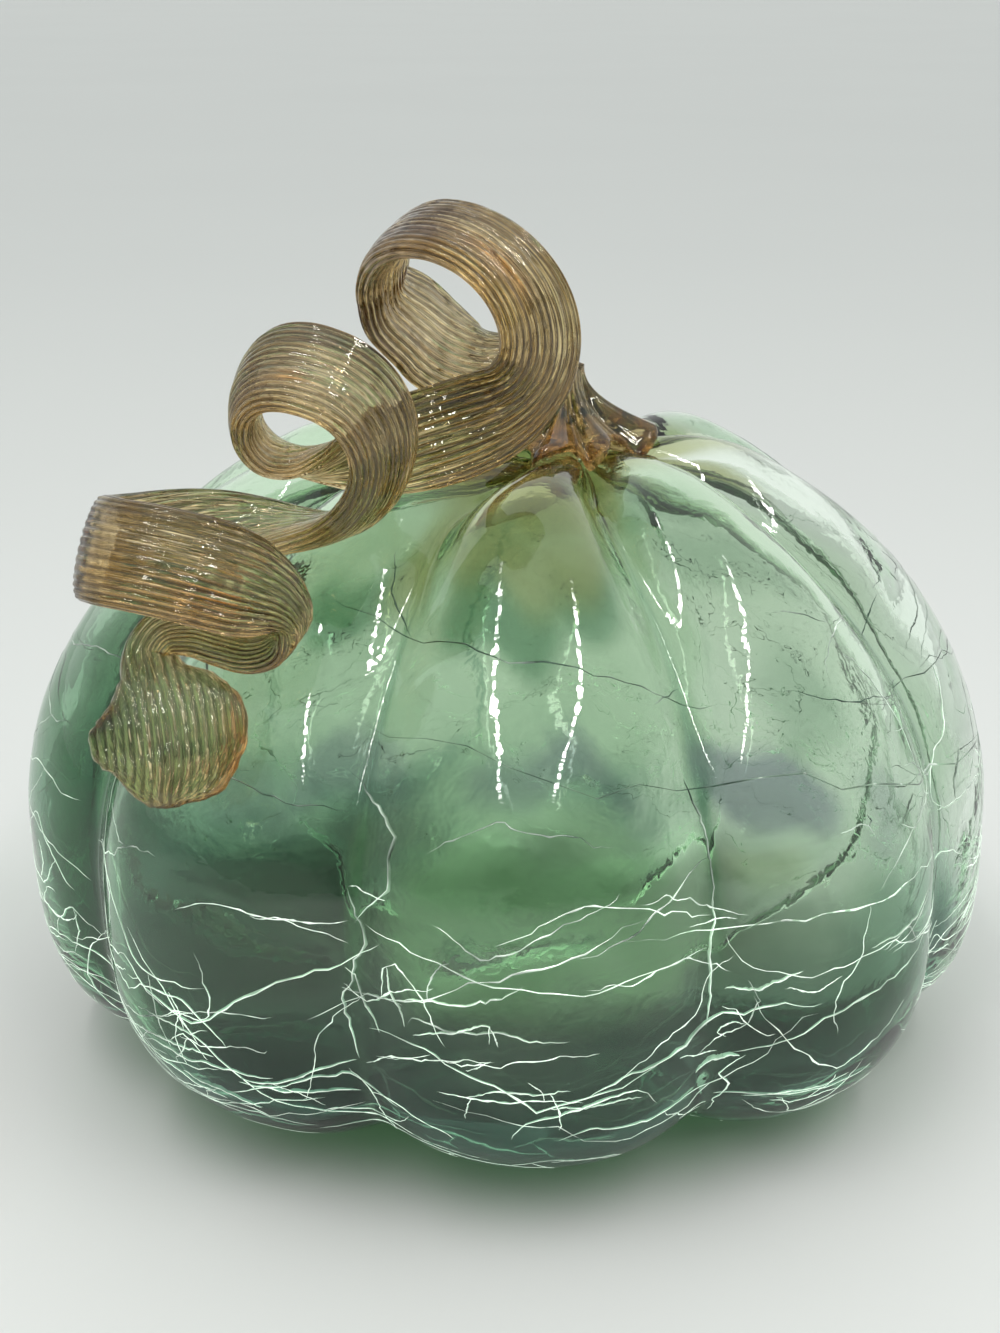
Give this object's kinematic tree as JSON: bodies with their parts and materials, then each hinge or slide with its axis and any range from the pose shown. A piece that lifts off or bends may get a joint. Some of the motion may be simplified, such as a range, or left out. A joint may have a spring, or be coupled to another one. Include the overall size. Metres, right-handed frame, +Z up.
{
  "type": "blown glass pumpkin",
  "caption": "Hand-blown crackle glass pumpkin: a thin lobed green shell with an open neck, closed by a ribbed amber glass stem that curls in loops and ends in a flat paddle.",
  "frame": {"origin": "middle of the outline seen from above, on the plane that the underside rests on", "axes": "+Z up; -Y is the front, the side that the picture shows; +X to the right seen from the front. The stem curls over the front left, toward -X and -Y"},
  "size_m": [0.1882, 0.1877, 0.1684],
  "materials": {
    "green_glass": "clear green soda-lime glass, fire polished, with crackle lines and one nearly colourless lobe",
    "amber_glass": "streaked amber and smoky brown glass, fire polished, fine lengthwise ribs"
  },
  "bodies": {
    "root": {"pumpkin_body": "green_glass", "curled_stem": "amber_glass"}
  },
  "joints": []
}
